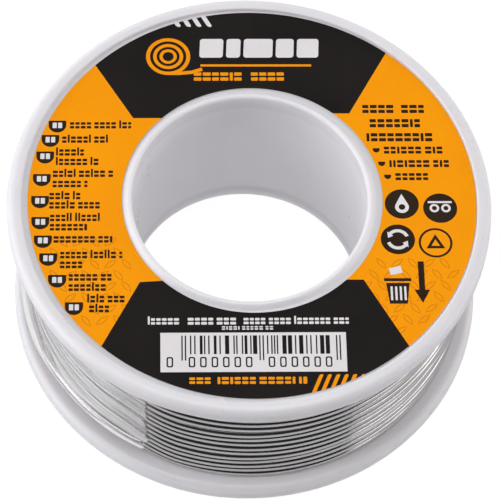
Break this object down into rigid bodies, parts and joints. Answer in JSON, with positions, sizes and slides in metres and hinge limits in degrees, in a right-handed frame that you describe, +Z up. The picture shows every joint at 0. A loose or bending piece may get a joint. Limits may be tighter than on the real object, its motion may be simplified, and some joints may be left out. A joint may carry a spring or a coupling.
{
  "type": "solder wire spool",
  "caption": "Small moulded plastic spool wound full with fine flux-cored solder wire; its free end is held down by a strip of clear tape that peels back.",
  "frame": {"origin": "centre of the bore on the plane the spool rests on", "axes": "+Z up along the bore, towards the labelled flange; -Y is the front, where the tape's cut edge is just left of centre"},
  "size_m": [0.05, 0.05, 0.0205],
  "materials": {
    "plastic": "white injection-moulded polystyrene, semi-gloss",
    "label": "printed paper label with a satin laminate, orange and black panels",
    "solder": null,
    "flux": null,
    "tape": "thin clear adhesive tape, glossy"
  },
  "bodies": {
    "spool": {"spool_body": "plastic", "face_label": "label", "wire_layer_01": "solder", "wire_layer_02": "solder", "wire_layer_03": "solder", "wire_layer_04": "solder", "wire_layer_05": "solder", "wire_layer_06": "solder", "wire_layer_07": "solder", "wire_layer_08": "solder", "wire_layer_09": "solder", "wire_layer_10": "solder", "tape_anchor": "tape"},
    "wire_end_1": {"wire_end_1": "solder"},
    "wire_end_2": {"wire_end_2": "solder"},
    "wire_end_3": {"wire_end_3": "solder"},
    "wire_end_4": {"wire_end_4": "solder"},
    "wire_end_5": {"wire_end_5": "solder"},
    "wire_end_6": {"wire_end_6": "solder", "flux_core": "flux"},
    "tape_flap_1": {"tape_flap_1": "tape"},
    "tape_flap_2": {"tape_flap_2": "tape"},
    "tape_flap_3": {"tape_flap_3": "tape"},
    "tape_flap_4": {"tape_flap_4": "tape"},
    "tape_flap_5": {"tape_flap_5": "tape"},
    "tape_flap_6": {"tape_flap_6": "tape"}
  },
  "joints": [
    {"name": "wire_end_bend_1", "type": "hinge", "parent": "spool", "child": "wire_end_1", "pos_m": [-0.02333, 0.00369, 0.0056], "axis": [0, 0, -1], "range_deg": [0, 12.4]},
    {"name": "wire_end_bend_2", "type": "hinge", "parent": "wire_end_1", "child": "wire_end_2", "pos_m": [-0.02358, -0.0014, 0.0056], "axis": [0, 0, -1], "range_deg": [0, 12.4]},
    {"name": "wire_end_bend_3", "type": "hinge", "parent": "wire_end_2", "child": "wire_end_3", "pos_m": [-0.02273, -0.00643, 0.0056], "axis": [0, 0, -1], "range_deg": [0, 12.4]},
    {"name": "wire_end_bend_4", "type": "hinge", "parent": "wire_end_3", "child": "wire_end_4", "pos_m": [-0.02082, -0.01116, 0.0056], "axis": [0, 0, -1], "range_deg": [0, 12.4]},
    {"name": "wire_end_bend_5", "type": "hinge", "parent": "wire_end_4", "child": "wire_end_5", "pos_m": [-0.01793, -0.01537, 0.0056], "axis": [0, 0, -1], "range_deg": [0, 12.4]},
    {"name": "wire_end_bend_6", "type": "hinge", "parent": "wire_end_5", "child": "wire_end_6", "pos_m": [-0.01421, -0.01886, 0.0056], "axis": [0, 0, -1], "range_deg": [0, 12.4]},
    {"name": "tape_peel_1", "type": "hinge", "parent": "spool", "child": "tape_flap_1", "pos_m": [-0.02333, 0.00369, 0.0056], "axis": [0, 0, -1], "range_deg": [0, 18.6]},
    {"name": "tape_peel_2", "type": "hinge", "parent": "tape_flap_1", "child": "tape_flap_2", "pos_m": [-0.02358, -0.0014, 0.0056], "axis": [0, 0, -1], "range_deg": [0, 18.6]},
    {"name": "tape_peel_3", "type": "hinge", "parent": "tape_flap_2", "child": "tape_flap_3", "pos_m": [-0.02273, -0.00643, 0.0056], "axis": [0, 0, -1], "range_deg": [0, 18.6]},
    {"name": "tape_peel_4", "type": "hinge", "parent": "tape_flap_3", "child": "tape_flap_4", "pos_m": [-0.02082, -0.01116, 0.0056], "axis": [0, 0, -1], "range_deg": [0, 18.6]},
    {"name": "tape_peel_5", "type": "hinge", "parent": "tape_flap_4", "child": "tape_flap_5", "pos_m": [-0.01793, -0.01537, 0.0056], "axis": [0, 0, -1], "range_deg": [0, 18.6]},
    {"name": "tape_peel_6", "type": "hinge", "parent": "tape_flap_5", "child": "tape_flap_6", "pos_m": [-0.01421, -0.01886, 0.0056], "axis": [0, 0, -1], "range_deg": [0, 18.6]}
  ],
  "couplings": [
    {"joint": "wire_end_bend_2", "follows": "wire_end_bend_1", "ratio": 1},
    {"joint": "wire_end_bend_3", "follows": "wire_end_bend_1", "ratio": 1},
    {"joint": "wire_end_bend_4", "follows": "wire_end_bend_1", "ratio": 1},
    {"joint": "wire_end_bend_5", "follows": "wire_end_bend_1", "ratio": 1},
    {"joint": "wire_end_bend_6", "follows": "wire_end_bend_1", "ratio": 1},
    {"joint": "tape_peel_1", "follows": "wire_end_bend_1", "ratio": 1.5},
    {"joint": "tape_peel_2", "follows": "wire_end_bend_1", "ratio": 1.5},
    {"joint": "tape_peel_3", "follows": "wire_end_bend_1", "ratio": 1.5},
    {"joint": "tape_peel_4", "follows": "wire_end_bend_1", "ratio": 1.5},
    {"joint": "tape_peel_5", "follows": "wire_end_bend_1", "ratio": 1.5},
    {"joint": "tape_peel_6", "follows": "wire_end_bend_1", "ratio": 1.5}
  ]
}
